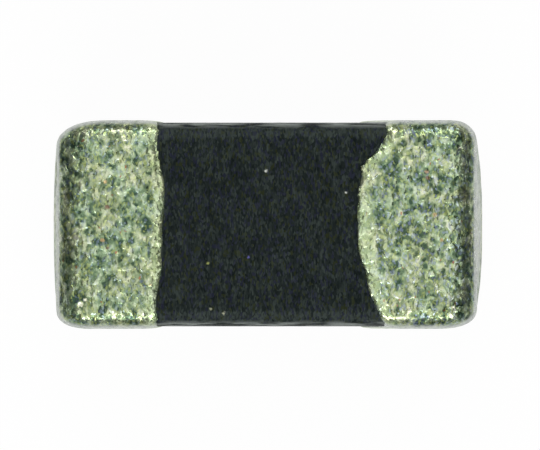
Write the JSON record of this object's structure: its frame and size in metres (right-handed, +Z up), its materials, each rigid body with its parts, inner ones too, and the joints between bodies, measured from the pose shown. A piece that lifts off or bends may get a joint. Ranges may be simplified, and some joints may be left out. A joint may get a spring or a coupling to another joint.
{
  "type": "smd ferrite bead",
  "caption": "Surface-mount chip ferrite bead: a rounded ferrite block with a buried printed coil and a tin-plated wrap-round termination on each end.",
  "frame": {"origin": "the middle of the part, because its section is square and it can be soldered down on any of its four long sides", "axes": "+X along the length, from the left termination to the right one, +Y across the width, +Z up through the thickness"},
  "size_m": [0.0016, 0.0008, 0.0008],
  "materials": {
    "ferrite": "matt",
    "matt_tin": "matt, pitted",
    "nickel": "satin",
    "fired_silver": "matt",
    "printed_silver": "matt"
  },
  "bodies": {
    "root": {"ferrite_body": "ferrite", "silver_base_left": "fired_silver", "silver_base_right": "fired_silver", "nickel_barrier_left": "nickel", "nickel_barrier_right": "nickel", "tin_cap_left": "matt_tin", "tin_cap_right": "matt_tin", "coil_lead_left": "printed_silver", "coil_turn_1": "printed_silver", "coil_turn_2": "printed_silver", "coil_turn_3": "printed_silver", "coil_turn_4": "printed_silver", "coil_turn_5": "printed_silver", "coil_turn_6": "printed_silver", "coil_lead_right": "printed_silver"}
  },
  "joints": []
}
